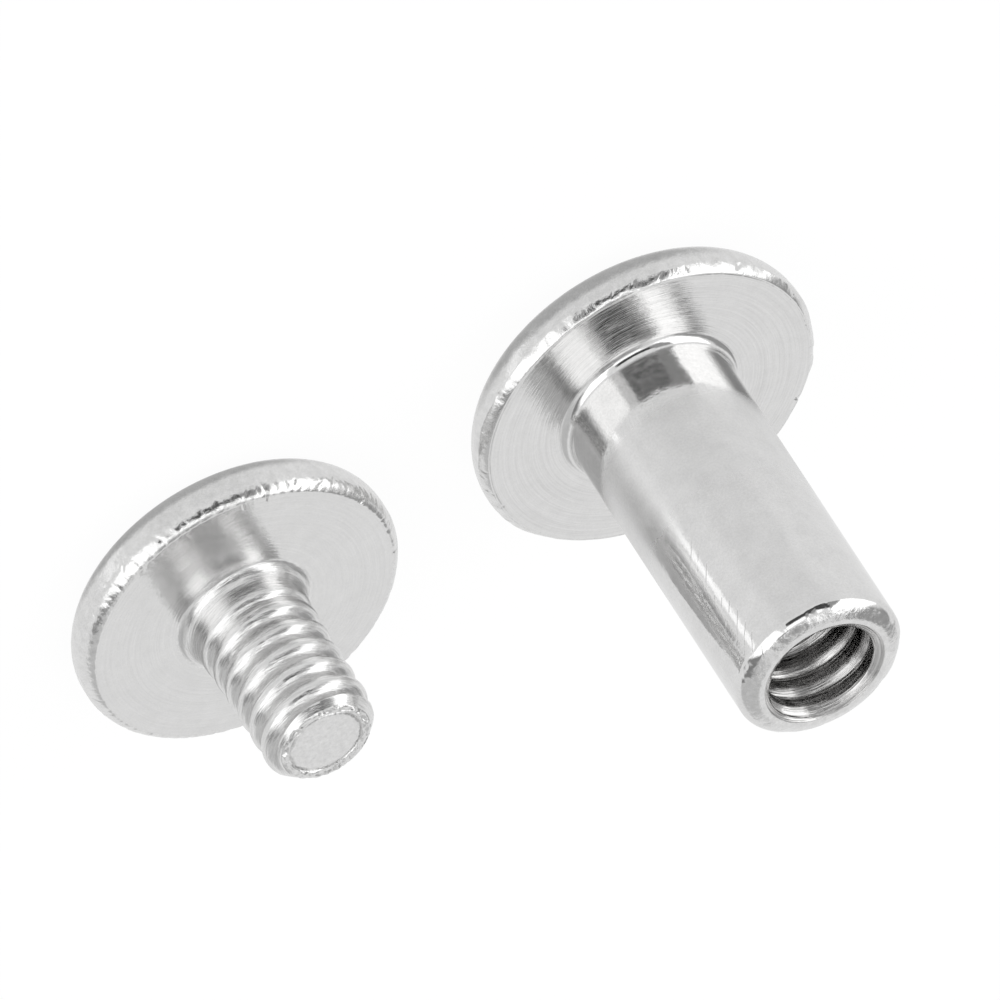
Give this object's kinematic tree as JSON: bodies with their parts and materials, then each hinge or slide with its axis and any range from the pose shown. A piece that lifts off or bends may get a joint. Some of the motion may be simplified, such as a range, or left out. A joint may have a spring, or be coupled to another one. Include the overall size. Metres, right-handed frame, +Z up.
{
  "type": "binding barrel screw",
  "caption": "Turned steel binding barrel with a round head and a tapped bore, and its slotted screw, unscrewed and standing side by side on their crowned heads.",
  "frame": {"origin": "on the surface that both heads stand on, midway along the box round the pair", "axes": "+X from the barrel towards the screw, +Y across them, +Z up along both posts"},
  "size_m": [0.0236, 0.0108, 0.0133],
  "materials": {
    "bright_nickel": "bright nickel plate over turned steel"
  },
  "bodies": {
    "root": {"barrel": "bright_nickel", "screw": "bright_nickel"}
  },
  "joints": []
}
